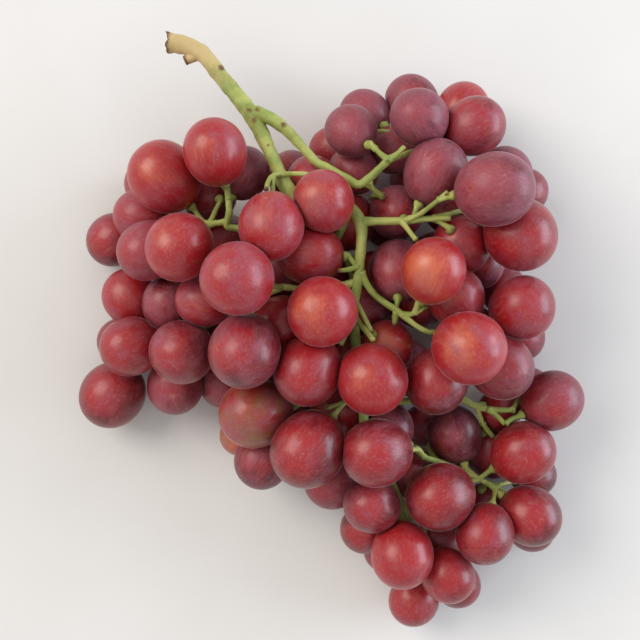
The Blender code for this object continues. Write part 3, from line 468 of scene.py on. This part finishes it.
def pedicels(centre, radius, axis, roots):
    """Each pedicel as points from its root to the berry, bent clear of every berry on the way."""
    pole = centre - axis * (radius * LONG - 0.2)[:, None]
    share = np.linspace(0, 1, 4)[None, :, None]
    paths = roots[:, None] * (1 - share) + (pole - axis * RECEPTACLE_LENGTH)[:, None] * share
    for _ in range(40):
        inner = paths[:, 1:-1]
        to_berry = inner[:, :, None] - centre[None, None]
        far = np.linalg.norm(to_berry, axis=3)
        into = np.clip(radius * 1.02 + PEDICEL_RADIUS + GAP - far, 0, 3)
        push = (into / far)[..., None] * to_berry
        smooth = (paths[:, :-2] + paths[:, 2:]) / 2 - inner
        paths[:, 1:-1] = inner + 0.6 * push.sum(2) + 0.3 * smooth
    return np.concatenate([paths, pole[:, None]], axis=1)


def laid_out():
    """The whole bunch in millimetres: berries with their laterals and axes, stems and pedicels."""
    home, radius, group = seen_berries()
    count = len(home)
    chains = stem_chains()
    centre, radius, group = fill_under(home, radius, group, points_of(chains), count, HIDDEN_SIZE)
    for sizes, rounds in zip(PLUG_SIZES, SETTLE_ROUNDS):
        centre, radius, group = plug_gaps(centre, radius, group, points_of(chains), count, sizes)
        axis, roots = grow(centre, radius, chains)
        centre = settle(centre, home, radius, group, axis, chains, rounds)
    centre = centre - (0, 0, SINK)
    roots = grow(centre, radius, chains, axis)[1]
    return centre, radius, group, axis, chains, pedicels(centre, radius, axis, roots)


# ---- berries ----

def turned_frame(axis):
    """Two directions at right angles to a berry's axis and to each other."""
    side = np.cross(axis, (0.0, 0.0, 1.0) if abs(axis[2]) < 0.9 else (1.0, 0.0, 0.0))
    side /= np.linalg.norm(side)
    return side, np.cross(axis, side)


def berry_surface(radius, number):
    """A berry about its own middle, its axis along z and its pedicel below.

    A ball of (turn, rise), stretched along its axis, a little fuller towards the tip, with a few low
    swellings that are waves of both angles, a dimple where the pedicel enters and a smaller one at the tip."""
    rise = np.linspace(0, np.pi, BERRY_ROWS)[:, None]
    turn = np.linspace(0, 2 * np.pi, BERRY_COLUMNS, endpoint=False)[None, :]
    wave = number * 1.7
    swell = 1 + 0.012 * np.sin(rise) * np.sin(2 * turn + wave)
    swell = swell + 0.008 * np.sin(rise)**2 * np.sin(3 * turn + 2.3 * wave)
    swell = swell + 0.008 * np.sin(2.0 * rise + wave) * np.sin(rise)
    level = -np.cos(rise)
    across = radius * SLIM * np.sin(rise) * (1 + EGG * level) * swell
    near = PEDICEL_DIMPLE[0] * np.exp(-(rise / PEDICEL_DIMPLE[1])**2)
    far = TIP_DIMPLE[0] * np.exp(-((np.pi - rise) / TIP_DIMPLE[1])**2)
    up = radius * LONG * level + near - far + 0 * turn
    return np.stack([across * np.cos(turn), across * np.sin(turn), up], -1)


def grid_faces(rows, columns):
    """Quads between the rows of a closed ring grid, whose first and last row are single points."""
    row, column = np.meshgrid(np.arange(rows - 1), np.arange(columns), indexing="ij")
    here = row * columns + column
    beside = row * columns + (column + 1) % columns
    return np.stack([here, beside, beside + columns, here + columns], -1).reshape(-1, 4)


def pressed_in(points, number, centre, radius, axis, group):
    """A berry's points held back by the berries that it presses against.

    Each neighbour's flat lies between the two middles, in proportion to their reach. A point past the flat
    returns to it along the line of middles, by a soft rule that rounds the flat's rim."""
    for other in np.flatnonzero(group == group[number]):
        between = centre[other] - centre[number]
        apart = np.linalg.norm(between)
        if other == number or apart > radius[other] + radius[number] + 3:
            continue
        unit = between / apart
        own = radius[number] * reach_along(axis[number], unit)
        its = radius[other] * reach_along(axis[other], unit)
        flat = apart * own / (own + its) - CONTACT_GAP
        past = (points - centre[number]) @ unit - flat
        points = points - SOFTNESS * np.logaddexp(0, past / SOFTNESS)[..., None] * unit
    return points


def on_the_surface(points):
    """Points that would sink into the surface stay on it, with a soft rim round each flat spot."""
    lifted = SOFTNESS * np.logaddexp(0, points[..., 2:] / SOFTNESS)
    return np.concatenate([points[..., :2], lifted], axis=-1)


def lateral_of_grapes(lateral, number, bunch, shift):
    """All the berries of one lateral as one piece, with each point's place in its own berry and its tone, to
    which a painted glow of light through the skin is added.
    """
    centre, radius, group, axis = bunch
    points, faces, inside, looks, along = [], [], [], [], []
    quads = grid_faces(BERRY_ROWS, BERRY_COLUMNS)
    for order, k in enumerate(np.flatnonzero(group == number)):
        own = berry_surface(radius[k], k)
        side, upward = turned_frame(axis[k])
        placed = own[..., :1] * side + own[..., 1:2] * upward + own[..., 2:] * axis[k] + centre[k]
        placed = pressed_in(placed, k, centre, radius, axis, group)
        faces.append(quads + len(points) * BERRY_ROWS * BERRY_COLUMNS)
        points.append(on_the_surface(placed).reshape(-1, 3) + shift)
        inside.append(own.reshape(-1, 3) + (37.0 * k, 11.0 * k, 0))
        along.append((own[..., 2] / (radius[k] * LONG) * 0.5 + 0.5).ravel())
        look = np.tile(look_of(lateral, order), (own[..., 0].size, 1))
        # a painted glow of light through the skin, redder and brighter on the side of each berry that faces up
        # and a little left
        look[:, 0] += PAINTED_GLOW_SHARE * (painted_glow_patch(placed.reshape(-1, 3) - centre[k]) - PAINTED_GLOW_LEVEL)
        looks.append(look)
    tone_and_painted_glow, bloom, unripe = np.concatenate(looks).T
    return piece(
        "grapes_" + lateral, np.concatenate(points), np.concatenate(faces),
        {"inside": np.concatenate(inside), "tone_and_painted_glow": tone_and_painted_glow, "bloom": bloom, "unripe": unripe,
         "along": np.concatenate(along)})


def painted_glow_patch(out):
    """How near each point of a berry is to the side where a glow of light through the skin is painted, up and
    a little left, from 0 to 1.
    """
    direction = out / np.linalg.norm(out, axis=1)[:, None]
    return np.exp(-((direction - PAINTED_GLOW_SIDE)**2).sum(1) / PAINTED_GLOW_SPREAD)


def look_of(lateral, order):
    """Tone, bloom and unripeness of a berry from 0 to 1, as read where it shows, or else by its number."""
    looks = BERRY_LOOKS[lateral].split()
    if order < len(looks):
        return np.array([int(digit) for digit in looks[order]]) / 9
    return np.array([0.30 + 0.12 * np.sin(5 * order + len(lateral)), 0.45 + 0.15 * np.sin(3 * order), 0.0])


def piece(name, points, faces, values):
    """A mesh object in metres from points in millimetres, with its values kept on its points."""
    mesh = bpy.data.meshes.new(name)
    mesh.from_pydata(points * MM, [], faces)
    for key, value in values.items():
        kind = "FLOAT_VECTOR" if value.ndim == 2 else "FLOAT"
        layer = mesh.attributes.new(key, kind, "POINT")
        layer.data.foreach_set("vector" if value.ndim == 2 else "value", value.astype(np.float32).ravel())
    made = bpy.data.objects.new(name, mesh)
    bpy.context.scene.collection.objects.link(made)
    work = bmesh.new()
    work.from_mesh(mesh)
    bmesh.ops.remove_doubles(work, verts=work.verts, dist=MERGE)
    work.to_mesh(mesh)
    work.free()
    mesh.shade_smooth()
    return made


# ---- stems ----

def carried_frames(points):
    """Directions along a path, and two across it that turn as little as they can from point to point."""
    ahead = np.gradient(points, axis=0)
    ahead /= np.linalg.norm(ahead, axis=1)[:, None]
    side = np.zeros_like(ahead)
    side[0] = turned_frame(ahead[0])[0]
    for k in range(1, len(points)):
        side[k] = side[k - 1] - (side[k - 1] @ ahead[k]) * ahead[k]
        side[k] /= np.linalg.norm(side[k])
    return ahead, side, np.cross(ahead, side)


def stem_surface(points, radii, sides, number, rough=0.05):
    """A ring of points round each point of a path, at its radius, uneven by waves of length and turn, and
    closed at both ends."""
    _, side, upward = carried_frames(points)
    length = np.r_[0, np.cumsum(np.linalg.norm(np.diff(points, axis=0), axis=1))][:, None]
    turn = np.linspace(0, 2 * np.pi, sides, endpoint=False)[None, :]
    uneven = 1 + rough * np.sin(3 * turn + 0.35 * length + number)
    uneven = uneven + 0.6 * rough * np.sin(2 * turn - 0.9 * length + 2.1 * number)
    uneven = uneven + 0.5 * rough * np.sin(1.7 * length + number)
    ring = np.cos(turn)[..., None] * side[:, None] + np.sin(turn)[..., None] * upward[:, None]
    skin = points[:, None] + ring * (radii[:, None] * uneven)[..., None]
    first = np.repeat(points[:1, None], sides, axis=1)
    last = np.repeat(points[-1:, None], sides, axis=1)
    return np.concatenate([first, skin, last])


def torn(surface, points):
    """A stem whose first end is torn: slanted, with ragged teeth that fade along it and a hollow middle."""
    ahead = carried_frames(points)[0]
    length = np.r_[0, np.cumsum(np.linalg.norm(np.diff(points, axis=0), axis=1))]
    turn = np.linspace(0, 2 * np.pi, surface.shape[1], endpoint=False)
    teeth = 0.9 * np.sin(turn + 2.6) + 0.35 * np.sin(3 * turn + 1) + 0.3 * np.sin(7 * turn)
    slide = teeth[None] * np.exp(-length / TEAR)[:, None]
    surface[1:-1] += ahead[:, None] * slide[..., None]
    surface[0] += ahead[0] * HOLLOW
    return surface


def bunch_of_stems(chains, paths, shift):
    """The whole green skeleton as one piece."""
    points, faces, dry, wood = [], [], [], []
    start = 0
    for number, (name, (chain, thick, _)) in enumerate(chains.items()):
        table = smooth_path(chain, thick[:, None], STEM_GRAIN)
        path, radii = table[:, :3], table[:, 3].copy()
        length = np.r_[0, np.cumsum(np.linalg.norm(np.diff(path, axis=0), axis=1))]
        if name in STOUT:
            extra, reach = STOUT[name]
            radii *= 1 + extra * np.exp(-(length / reach)**4)
        if name == "rachis":
            woody = np.clip(1.15 - length / WOOD_LENGTH, 0, 1)
            dried = np.exp(-length / 1.5)
        else:
            radii *= 1 + COLLAR * np.exp(-length / COLLAR_LENGTH)
            woody = np.zeros(len(path))
            dried = np.exp(-(length[-1] - length) / 1.2) if name in DRY_TIPS else np.zeros(len(path))
            if name == "old_stub":
                woody += 1
        surface = stem_surface(path, radii, STEM_SIDES, number)
        if name == "rachis":
            surface = torn(surface, path)
        rows = len(surface)
        faces.append(grid_faces(rows, STEM_SIDES) + start)
        start += rows * STEM_SIDES
        points.append(surface.reshape(-1, 3) + shift)
        dry.append(np.repeat(np.r_[dried[0], dried, dried[-1]], STEM_SIDES))
        wood.append(np.repeat(np.r_[woody[0], woody, woody[-1]], STEM_SIDES))
    for number, path in enumerate(paths):
        table = smooth_path(path, np.zeros((len(path), 1)), PEDICEL_GRAIN)[:, :3]
        away = np.linalg.norm(np.diff(table, axis=0), axis=1)
        left = np.r_[np.cumsum(away[::-1])[::-1], 0]
        from_root = np.r_[0, np.cumsum(away)]
        radii = PEDICEL_RADIUS * (1 + UNEVEN * np.sin(number))
        radii = radii * (1 + PEDICEL_COLLAR * np.exp(-from_root / PEDICEL_COLLAR_LENGTH))
        swollen = np.exp(-(np.clip(left - 0.5, 0, None) / 1.1)**2)
        radii = radii + (RECEPTACLE_RADIUS - PEDICEL_RADIUS) * swollen
        surface = stem_surface(table, radii, PEDICEL_SIDES, number, 0.07)
        rows = len(surface)
        faces.append(grid_faces(rows, PEDICEL_SIDES) + start)
        start += rows * PEDICEL_SIDES
        points.append(surface.reshape(-1, 3) + shift)
        dried = 0.6 * np.exp(-left / 0.8) + 0.3 * np.exp(-from_root / 0.5)
        dry.append(np.repeat(np.r_[dried[0], dried, dried[-1]], PEDICEL_SIDES))
        wood.append(np.zeros(rows * PEDICEL_SIDES))
    points, dry = np.concatenate(points), np.concatenate(dry)
    for across, up, size in MARKS:
        middle = seen(across, up, MARK_HEIGHT) + shift
        dry += MARK_STRENGTH * np.exp(-((points[:, :2] - middle[:2])**2).sum(1) / size**2)
    values = {"dry": dry, "wood": np.concatenate(wood)}
    return piece("bunch_stems", points, np.concatenate(faces), values)


# ---- shader expressions ----

class Wire:
    """A socket that can be written in sums and products with numbers and other wires."""

    def __init__(self, tree, socket):
        self.tree = tree
        self.socket = socket

    def maths(self, operation, *others):
        node = self.tree.nodes.new("ShaderNodeMath")
        node.operation = operation
        for place, value in zip(node.inputs, others):
            put(self.tree, place, value)
        return Wire(self.tree, node.outputs[0])

    def __add__(self, other):
        return self.maths("ADD", self, other)

    __radd__ = __add__

    def __mul__(self, other):
        return self.maths("MULTIPLY", self, other)

    __rmul__ = __mul__

    def __sub__(self, other):
        return self.maths("SUBTRACT", self, other)

    def __rsub__(self, other):
        return self.maths("SUBTRACT", other, self)

    def size(self):
        return self.maths("ABSOLUTE", self)


def put(tree, place, value):
    if isinstance(value, Wire):
        tree.links.new(value.socket, place)
    else:
        place.default_value = value


class Finish:
    """A material in the making."""

    def __init__(self, name):
        self.material = bpy.data.materials.new(name)
        self.material.use_nodes = True
        self.tree = self.material.node_tree
        self.shader = self.tree.nodes["Principled BSDF"]

    def node(self, kind, settings=None, values=None, output=0):
        made = self.tree.nodes.new("ShaderNode" + kind)
        for key, value in (settings or {}).items():
            setattr(made, key, value)
        for key, value in (values or {}).items():
            put(self.tree, made.inputs[key], value)
        return Wire(self.tree, made.outputs[output])

    def value_of(self, name):
        return self.node("Attribute", {"attribute_name": name}, output="Fac")

    def vector_of(self, name):
        return self.node("Attribute", {"attribute_name": name}, output="Vector")

    def place(self):
        return self.node("TexCoord", output="Object")

    def scaled(self, vector, size):
        return self.node("VectorMath", {"operation": "MULTIPLY"}, {0: vector, 1: size})

    def noise(self, vector, scale, detail=3.0, roughness=0.55):
        values = {"Vector": vector, "Scale": scale, "Detail": detail, "Roughness": roughness}
        return self.node("TexNoise", None, values)

    def dots(self, vector, scale, size):
        """1 inside small round dots and 0 between them."""
        far = self.node("TexVoronoi", None, {"Vector": vector, "Scale": scale})
        return self.step(far, size, size * 0.5)

    def step(self, value, start, end):
        """0 at start to 1 at end, eased."""
        return self.node("MapRange", {"interpolation_type": "SMOOTHSTEP"}, {0: value, 1: start, 2: end})

    def mix(self, share, first, second):
        return self.node("Mix", {"data_type": "RGBA"}, {0: share, 6: first, 7: second}, output=2)

    def bump(self, height, strength, distance):
        return self.node("Bump", None, {"Height": height, "Strength": strength, "Distance": distance})

    def into(self, **sockets):
        for key, value in sockets.items():
            put(self.tree, self.shader.inputs[key.replace("_", " ")], value)
        return self.material


def colour(red, green, blue):
    return (red, green, blue, 1.0)


# ---- finishes ----

WINE = colour(0.065, 0.003, 0.010)
CRIMSON = colour(0.36, 0.011, 0.017)
# orange red: partly some berries' own paler tone, partly a painted glow of light through the skin
ORANGE_AND_PAINTED_GLOW = colour(0.58, 0.125, 0.055)
UNRIPE = colour(0.24, 0.10, 0.03)
FILM = colour(0.30, 0.082, 0.118)
SCUFF = colour(0.50, 0.27, 0.22)
SPECK = colour(0.60, 0.30, 0.20)
SCAR = colour(0.10, 0.05, 0.03)
YOUNG = colour(0.42, 0.45, 0.12)
SHADED = colour(0.24, 0.30, 0.06)
TAN = colour(0.55, 0.41, 0.18)
DRIED = colour(0.16, 0.075, 0.03)
PALE = colour(0.77, 0.76, 0.75)
PALE_SHADE = colour(0.73, 0.715, 0.70)


def grape_skin():
    """Crimson skin, darker or orange by the berry's tone, with an orange painted glow of light through the
    skin on the side up and a little left; streaks and strokes along its axis, a pale film, specks, faint rub
    marks and a dry scar at the tip."""
    finish = Finish("grape_skin")
    place = finish.vector_of("inside")
    tone_and_painted_glow, film, unripe, along = (finish.value_of(name) for name in ("tone_and_painted_glow", "bloom", "unripe", "along"))
    broad = finish.noise(place, 0.13)
    fine = finish.noise(place, 1.4, 4.0)
    streaks = finish.noise(finish.scaled(place, (1.0, 1.0, 0.12)), 0.9)
    # the berry's tone with the painted glow of light added, broad patches and streaks, and a little darker
    # towards the tip
    ripeness_and_painted_glow = tone_and_painted_glow + (broad - 0.5) * 0.5 + (streaks - 0.5) * 0.35 - (along - 0.4) * 0.15
    skin = finish.mix(finish.step(ripeness_and_painted_glow, 0.0, 0.6), WINE, CRIMSON)
    # orange where the tone is highest: partly the berry's own orange tone, partly the painted glow of light
    # through the skin
    skin = finish.mix(finish.step(ripeness_and_painted_glow, 0.70, 1.20), skin, ORANGE_AND_PAINTED_GLOW)
    skin = finish.mix(finish.step(unripe + (broad - 0.5) * 1.6, 0.2, 0.9), skin, UNRIPE)
    patches = finish.noise(finish.scaled(place, (1.0, 1.0, 0.6)), 0.17, 5.0, 0.62)
    hazy = finish.step(film + (patches - 0.5) * 2.0 + (streaks - 0.5) * 0.5 + (fine - 0.5) * 0.4, 0.15, 0.9)
    skin = finish.mix(hazy * 0.72, skin, FILM)
    strokes = finish.noise(finish.scaled(place, (1.0, 1.0, 0.35)), 1.5, 4.0)
    skin = finish.mix(finish.step(strokes, 0.48, 0.72) * 0.17, skin, SCUFF)
    specks = finish.dots(place, 0.55, 0.14) * finish.step(patches, 0.4, 0.6)
    skin = finish.mix(specks * 0.4, skin, SPECK)
    lines = finish.noise(place, 0.12, 1.0)
    scuff = finish.step((lines - 0.5).size(), 0.005, 0.002) * finish.step(broad, 0.55, 0.65)
    skin = finish.mix(scuff * 0.3, skin, SCUFF)
    scar = finish.step(along, 0.9955, 0.9985)
    skin = finish.mix(scar, skin, SCAR)
    rough = 0.42 + hazy * 0.18 + scar * 0.3
    relief = fine * 0.5 + specks * 0.6
    finish.shader.inputs["Subsurface Weight"].default_value = 0.2
    finish.shader.inputs["Subsurface Radius"].default_value = (1.0, 0.2, 0.1)
    finish.shader.inputs["Subsurface Scale"].default_value = 0.002
    finish.shader.inputs["IOR"].default_value = 1.36
    finish.shader.inputs["Coat Roughness"].default_value = 0.28
    finish.shader.inputs["Coat IOR"].default_value = 1.5
    finish.shader.inputs["Sheen Weight"].default_value = 0.65
    finish.shader.inputs["Sheen Roughness"].default_value = 0.15
    finish.shader.inputs["Sheen Tint"].default_value = colour(1.0, 0.72, 0.74)
    shine = 0.6 - hazy * 0.35
    bumps = finish.bump(relief, 0.2, 0.0001)
    return finish.into(Base_Color=skin, Roughness=rough, Coat_Weight=shine, Normal=bumps)


def stem_skin():
    """Green stem skin with soft mottling, tan and woody towards the cut, brown where it has dried."""
    finish = Finish("stem_skin")
    place = finish.scaled(finish.place(), (1000.0, 1000.0, 1000.0))
    dry, wood = finish.value_of("dry"), finish.value_of("wood")
    broad = finish.noise(place, 0.12)
    fine = finish.noise(place, 1.6, 4.0)
    skin = finish.mix(finish.step(broad + (fine - 0.5) * 0.2, 0.35, 0.62), SHADED, YOUNG)
    skin = finish.mix(finish.step(wood + (fine - 0.5) * 0.5 + (broad - 0.5) * 0.5, 0.2, 0.8), skin, TAN)
    specks = finish.dots(place, 0.9, 0.14)
    skin = finish.mix(specks * (0.2 + wood * 0.4), skin, DRIED)
    skin = finish.mix(finish.step(dry + (fine - 0.5) * 0.6, 0.25, 0.75), skin, DRIED)
    relief = fine + broad * 0.5
    return finish.into(Base_Color=skin, Roughness=0.5 + dry * 0.3, Normal=finish.bump(relief, 0.5, 0.0003))


def surface_paint():
    """Plain pale matt surface with a very faint mottling."""
    finish = Finish("pale_surface")
    cloud = finish.noise(finish.place(), 9.0, 5.0)
    tint = finish.mix(finish.step(cloud, 0.3, 0.7), PALE_SHADE, PALE)
    return finish.into(Base_Color=tint, Roughness=0.6)


# ---- the scene ----

FLOOR_REACH = 4.0       # metres, and so are the places and sizes of the lights
FLOOR_SQUARES = 8
ROOM_TINT = colour(1.0, 0.985, 0.965)
ROOM_STRENGTH = 0.66
LIGHTS = (              # name, place, size, watts, tint
    ("window", (1.25, 0.20, 0.40), (1.2, 0.7), 17.0, (0.72, 0.85, 1.0)),
    ("lamp", (-1.6, 0.90, 1.70), (1.5, 1.5), 36.0, (1.0, 0.94, 0.86)))


def wide_floor():
    """A wide level surface as a grid of two parameters."""
    count = FLOOR_SQUARES
    across = np.linspace(-FLOOR_REACH, FLOOR_REACH, count + 1)
    x, y = np.meshgrid(across, across, indexing="ij")
    points = np.stack([x, y, 0 * x], -1).reshape(-1, 3)
    row, column = np.meshgrid(np.arange(count), np.arange(count), indexing="ij")
    here = (row * (count + 1) + column).ravel()
    mesh = bpy.data.meshes.new("surface")
    mesh.from_pydata(points, [], np.stack([here, here + count + 1, here + count + 2, here + 1], -1))
    made = bpy.data.objects.new("surface", mesh)
    bpy.context.scene.collection.objects.link(made)
    mesh.materials.append(surface_paint())
    return made


def soft_light(name, place, size, power, tint):
    """A flat lamp that faces the middle of the bunch."""
    lamp = bpy.data.lights.new(name, "AREA")
    lamp.shape = "RECTANGLE"
    lamp.size, lamp.size_y = size
    lamp.energy = power
    lamp.color = tint
    made = bpy.data.objects.new(name, lamp)
    made.location = place
    made.rotation_euler = (-Vector(place)).to_track_quat("-Z", "Y").to_euler()
    bpy.context.scene.collection.objects.link(made)


def light_and_camera(shift):
    """An even pale room, the lights, and an eye straight above the middle of the photograph."""
    world = bpy.data.worlds.new("room")
    world.use_nodes = True
    background = world.node_tree.nodes["Background"]
    background.inputs["Color"].default_value = ROOM_TINT
    background.inputs["Strength"].default_value = ROOM_STRENGTH
    bpy.context.scene.world = world
    for light in LIGHTS:
        soft_light(*light)
    camera = bpy.data.cameras.new("camera")
    camera.sensor_width = SENSOR
    camera.lens = LENS
    camera.clip_start = 0.01
    eye = bpy.data.objects.new("camera", camera)
    eye.location = (shift[0] * MM, shift[1] * MM, EYE_HEIGHT * MM)
    bpy.context.scene.collection.objects.link(eye)
    bpy.context.scene.camera = eye
    bpy.context.scene.view_settings.view_transform = "Standard"


def main():
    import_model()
    centre, radius, group, axis, chains, paths = laid_out()
    stems = np.concatenate([np.column_stack([points, thick]) for points, thick, _ in chains.values()])
    half = radius[:, None] * reach_along(axis[:, None], np.eye(3)[None])
    low = np.minimum((centre - half).min(0), (stems[:, :3] - stems[:, 3:]).min(0))
    high = np.maximum((centre + half).max(0), (stems[:, :3] + stems[:, 3:]).max(0))
    shift = -(low + high) / 2 * (1, 1, 0)
    skin = grape_skin()
    for number, lateral in enumerate(SEEN_BERRIES):
        made = lateral_of_grapes(lateral, number, (centre, radius, group, axis), shift)
        made.data.materials.append(skin)
        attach(made, "root")
        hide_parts("berries_" + lateral)
    stem = bunch_of_stems(chains, paths, shift)
    stem.data.materials.append(stem_skin())
    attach(stem, "root")
    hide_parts("rachis")
    wide_floor()
    light_and_camera(shift)
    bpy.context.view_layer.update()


main()
